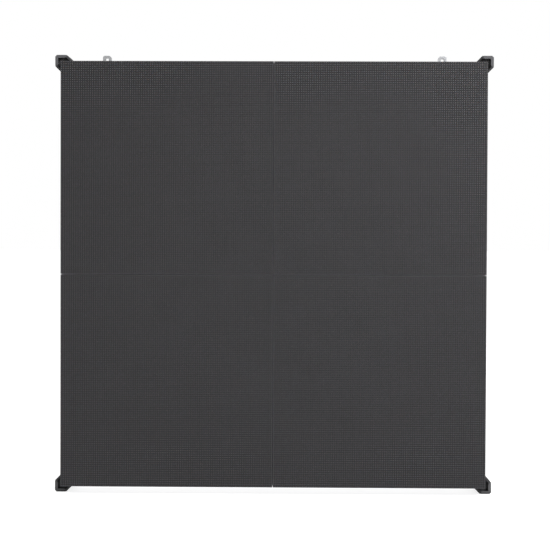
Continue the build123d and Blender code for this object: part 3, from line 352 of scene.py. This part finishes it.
def lens_finish():
    """Green light pipe."""
    f = Finish("light_pipe", rough=0.2, specular=0.5)
    f.shader.inputs["Transmission Weight"].default_value = 0.5
    f.shader.inputs["IOR"].default_value = 1.49
    core = f.span(f.noise(1.2 * MM), 0.3, 0.7)
    tone = f.mix(core, (0.26, 0.62, 0.34), (0.4, 0.78, 0.46))
    return f.done(tone, f.vary(f.noise(0.6 * MM), 0.14, 0.3))


def floor_finish():
    """A white surface lit from below, so that it keeps only soft shadows."""
    f = Finish("studio_floor", rough=0.9, specular=0.1)
    f.shader.inputs["Emission Color"].default_value = (1, 1, 1, 1)
    f.shader.inputs["Emission Strength"].default_value = 0.82
    tone = f.mix(f.noise(0.9, 2.0), (0.34, 0.34, 0.34), (0.37, 0.37, 0.37))
    return f.done(tone)


LED_BOARD_BACK = -34.5 * MM  # Y of the boards' component sides, where their chips begin
HUB_BACK = -7.3 * MM
CARD_BACK = 3.7 * MM
SLEEVE_RIB = 4.0 * MM

FINISHES = {
    "frame_casting": powder_coat("silver_coat", (0.34, 0.345, 0.357), 0.5, 0.55, (0.6, 0.6, 0.61)),
    "module_mask": mask_finish(),
    "circuit_board": circuit("board_green", (0.012, 0.06, 0.032), LED_BOARD_BACK),
    "module_case": moulded("case_black", (0.026, 0.026, 0.028), 0.55),
    "zinc_steel": plated("zinc", (0.44, 0.445, 0.46), 0.32),
    "bottom_hook_steel": plated("satin_nickel", (0.42, 0.42, 0.435), 0.36, (0.2, 1.0, 1.0)),
    "magnet_nickel": plated("bright_nickel", (0.7, 0.69, 0.66), 0.16, EVENLY),
    "connector_plastic": moulded("connector_black", (0.035, 0.035, 0.036), 0.4),
    # the corner guards get painted shade in their pockets and on their inner part
    "guard_nylon": moulded(
        "guard_nylon", (0.066, 0.066, 0.068), 0.5, specular=0.14, grain=0.35, rubbed=0.4, pocket_shade=0.97
    ),
    "guard_rubber": rubber("pad_rubber", (0.025, 0.025, 0.026)),
    "latch_grip": moulded("grip_nylon", (0.024, 0.024, 0.026), 0.45, specular=0.45, grain=0.4),
    "box_casting": powder_coat("black_coat", (0.036, 0.037, 0.04), 0.5, 0.5, GREY_SCUFF),
    "supply_steel": galvanised("galvanised", (0.58, 0.59, 0.6)),
    "socket_power_in": moulded(
        "socket_blue", (0.03, 0.1, 0.4), 0.38, specular=0.5, scuff=(0.4, 0.45, 0.6)
    ),
    "socket_power_out": moulded(
        "socket_grey", (0.52, 0.52, 0.52), 0.4, specular=0.5, scuff=(0.7, 0.7, 0.7)
    ),
    "socket_data": powder_coat("black_chrome", (0.045, 0.045, 0.05), 0.3, 0.3, (0.45, 0.42, 0.36)),
    "lead_insulation": rubber("lead_black", (0.022, 0.022, 0.022), rough=0.5),
    "status_lens": lens_finish(),
    "button_plastic": moulded(
        "button_red", (0.42, 0.035, 0.025), 0.3, specular=0.5, scuff=(0.6, 0.25, 0.2)
    ),
    "handle_steel": powder_coat("handle_coat", (0.034, 0.034, 0.036), 0.45, 0.4, (0.34, 0.34, 0.34)),
    "handle_rubber": rubber("handle_sleeve", (0.028, 0.028, 0.029), SLEEVE_RIB),
}
NODE_FINISHES = {
    "hub_board": circuit("hub_green", (0.01, 0.075, 0.03), HUB_BACK),
    "receiving_card": circuit("card_green", (0.01, 0.07, 0.05), CARD_BACK),
}
LOOP_STEEL = plated("loop_steel", (0.375, 0.38, 0.386), 0.38)
NODE_FINISHES["top_striker_left"] = LOOP_STEEL
NODE_FINISHES["top_striker_right"] = LOOP_STEEL

for node_name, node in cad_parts.items():
    for holder in node.material_slots:
        slot_name = holder.material.name.split(".")[0]
        holder.material = NODE_FINISHES.get(node_name, FINISHES[slot_name])


# ---------------------------------------------------------------- mesh helpers


def linked_object(name, data):
    made = bpy.data.objects.new(name, data)
    bpy.context.scene.collection.objects.link(made)
    return made


class Mesh:
    """Collects closed shapes and turns them into one piece."""

    # A block's corners are numbered round its back face, then round its front face.
    BLOCK = ((0, 1, 2, 3), (7, 6, 5, 4), (0, 4, 5, 1), (1, 5, 6, 2), (2, 6, 7, 3), (3, 7, 4, 0))

    def __init__(self):
        self.points = []
        self.faces = []

    def tapered(self, low, high, inset):
        """A block that gets narrower by inset on every side towards the front."""
        start = len(self.points)
        (x0, y0, z0), (x1, y1, z1) = low, high
        for y, d in ((y1, 0.0), (y0, inset)):
            self.points += [(x0 + d, y, z0 + d), (x1 - d, y, z0 + d)]
            self.points += [(x1 - d, y, z1 - d), (x0 + d, y, z1 - d)]
        self.faces += [tuple(start + i for i in quad) for quad in self.BLOCK]

    def tube(self, line, radius, sides=8):
        """A round wire along a line of points, closed at both ends."""
        start = len(self.points)
        for i, point in enumerate(line):
            ahead = (line[min(i + 1, len(line) - 1)] - line[max(i - 1, 0)]).normalized()
            out = ahead.cross(Vector((0, 1, 0))).normalized()
            across = ahead.cross(out)
            for k in range(sides):
                a = 2 * math.pi * k / sides
                self.points.append(tuple(point + (out * math.cos(a) + across * math.sin(a)) * radius))
        for i in range(len(line) - 1):
            for k in range(sides):
                a, b = start + i * sides + k, start + i * sides + (k + 1) % sides
                self.faces.append((a, b, b + sides, a + sides))
        last = start + (len(line) - 1) * sides
        self.faces.append(tuple(range(start + sides - 1, start - 1, -1)))
        self.faces.append(tuple(range(last, last + sides)))

    def piece(self, name, material, body):
        data = bpy.data.meshes.new(name)
        data.from_pydata(self.points, [], self.faces)
        data.materials.append(material)
        data.update()
        made = linked_object(name, data)
        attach(made, body)
        return made


# ---------------------------------------------------------------- LED modules

RIB_BASE = 0.46 * MM  # half width of a mask rib at its root
RIB_BEVEL = 0.2 * MM
UPRIGHT_STEP = 0.08 * MM  # the upright ribs stand this far behind the louvres
LED_HALF = 0.8 * MM
LED_HEIGHT = 1.25 * MM
LED_BEVEL = 0.1 * MM


def rib_span(low, middle, high, step):
    """The two sides and the bevel of a rib, cut off at the module's edges."""
    offset = (step - PER_SIDE / 2) * PITCH
    first = max(low, middle + offset - RIB_BASE)
    last = min(high, middle + offset + RIB_BASE)
    return first, last, min(RIB_BEVEL, (last - first) / 3)


def louvre_mask(name, low, high):
    middle = (low + high) / 2
    ribs = Mesh()
    for step in range(PER_SIDE + 1):
        z0, z1, bevel = rib_span(low.z, middle.z, high.z, step)
        ribs.tapered((low.x, low.y, z0), (high.x, high.y, z1), bevel)
        x0, x1, bevel = rib_span(low.x, middle.x, high.x, step)
        ribs.tapered((x0, low.y + UPRIGHT_STEP, low.z), (x1, high.y, high.z), bevel)
    mask = ribs.piece(f"louvre_mask_{name}", FINISHES["module_mask"], "cabinet")
    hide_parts(f"module_mask_{name}")


def led_grid(name, low, high, material):
    middle = (low + high) / 2
    leds = Mesh()
    for row in range(PER_SIDE):
        z = middle.z + (row - (PER_SIDE - 1) / 2) * PITCH
        for column in range(PER_SIDE):
            x = middle.x + (column - (PER_SIDE - 1) / 2) * PITCH
            front = (x - LED_HALF, high.y - LED_HEIGHT, z - LED_HALF)
            leds.tapered(front, (x + LED_HALF, high.y, z + LED_HALF), LED_BEVEL)
    leds.piece(f"leds_{name}", material, "cabinet")


led_material = led_finish()
for corner in CORNERS:
    mask_low, mask_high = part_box(f"module_mask_{corner}")
    louvre_mask(corner, mask_low, mask_high)
    led_grid(corner, mask_low, mask_high, led_material)


# ---------------------------------------------------------------- spring of the test button

SPRING_WIRE = 0.4 * MM
SPRING_TURNS = 5
TURN_STEPS = 28  # points in a turn
SPRING_STEPS = SPRING_TURNS * TURN_STEPS
END_CLOSING = 0.08  # how much closer the end turns lie


def coil_line(low, high):
    """Points along a coil whose axis is Y, inside the box from low to high."""
    middle = (low + high) / 2
    radius = (high.x - low.x) / 2 - SPRING_WIRE
    height = high.y - low.y - 2 * SPRING_WIRE
    line = []
    for step in range(SPRING_STEPS + 1):
        part_way = step / SPRING_STEPS
        climb = part_way - math.sin(2 * math.pi * part_way) * END_CLOSING
        angle = 2 * math.pi * SPRING_TURNS * part_way
        x, z = middle.x + math.cos(angle) * radius, middle.z + math.sin(angle) * radius
        line.append(Vector((x, low.y + SPRING_WIRE + height * climb, z)))
    return line


spring_low, spring_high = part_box("button_spring")
coil = Mesh()
coil.tube(coil_line(spring_low, spring_high), SPRING_WIRE)
spring = coil.piece("coil_spring", FINISHES["zinc_steel"], "cabinet")
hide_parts("button_spring")
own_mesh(spring)


# ---------------------------------------------------------------- floor, light and camera

FLOOR_HALF = 40.0
WHITE = (1, 1, 1)
FACE_CENTRE = Vector((0, 0, MIDDLE))


def plane(name, half):
    data = bpy.data.meshes.new(name)
    corners = [(-half, -half, 0), (half, -half, 0), (half, half, 0), (-half, half, 0)]
    data.from_pydata(corners, [], [(0, 1, 2, 3)])
    data.materials.append(floor_finish())
    linked_object(name, data)


def soft_light(name, place, width, watts, colour=WHITE):
    """A round lamp that faces the middle of the panel."""
    data = bpy.data.lights.new(name, "AREA")
    data.shape = "DISK"
    data.size = width
    data.energy = watts
    data.color = colour
    made = linked_object(name, data)
    made.location = place
    made.rotation_euler = (FACE_CENTRE - Vector(place)).to_track_quat("-Z", "Y").to_euler()


plane("floor", FLOOR_HALF)

world = bpy.data.worlds.new("studio")
world.use_nodes = True
world.node_tree.nodes["Background"].inputs["Color"].default_value = (*WHITE, 1)
world.node_tree.nodes["Background"].inputs["Strength"].default_value = 1.0
bpy.context.scene.world = world
bpy.context.scene.view_settings.view_transform = "Standard"

soft_light("key", (1.0, -1.05, 1.2), 0.9, 36.0, (0.99, 0.985, 1.03))
soft_light("fill", (-2.2, -1.6, 1.3), 2.0, 2.0, (1.0, 0.97, 0.93))
soft_light("rear", (-1.2, 2.6, 2.2), 2.0, 26.0)

CAMERA_PLACE = (29.3 * MM, -1988 * MM, 300.6 * MM)
CAMERA_TURN, CAMERA_TILT, CAMERA_ROLL = (math.radians(a) for a in (0.799, -1.238, 0.214))
CAMERA_LENS, CAMERA_SENSOR = 109.02, 36.0  # mm

turn = Matrix.Rotation(CAMERA_TURN, 3, "Z") @ Matrix.Rotation(CAMERA_TILT, 3, "X")
right, ahead, up = turn.col[0], turn.col[1], turn.col[2]
rolled_right = right * math.cos(CAMERA_ROLL) + up * math.sin(CAMERA_ROLL)
rolled_up = up * math.cos(CAMERA_ROLL) - right * math.sin(CAMERA_ROLL)
facing = Matrix((rolled_right, rolled_up, -ahead)).transposed().to_4x4()
camera_data = bpy.data.cameras.new("camera")
camera_data.sensor_width = CAMERA_SENSOR
camera_data.lens = CAMERA_LENS
camera = linked_object("camera", camera_data)
camera.matrix_world = Matrix.Translation(CAMERA_PLACE) @ facing
bpy.context.scene.camera = camera
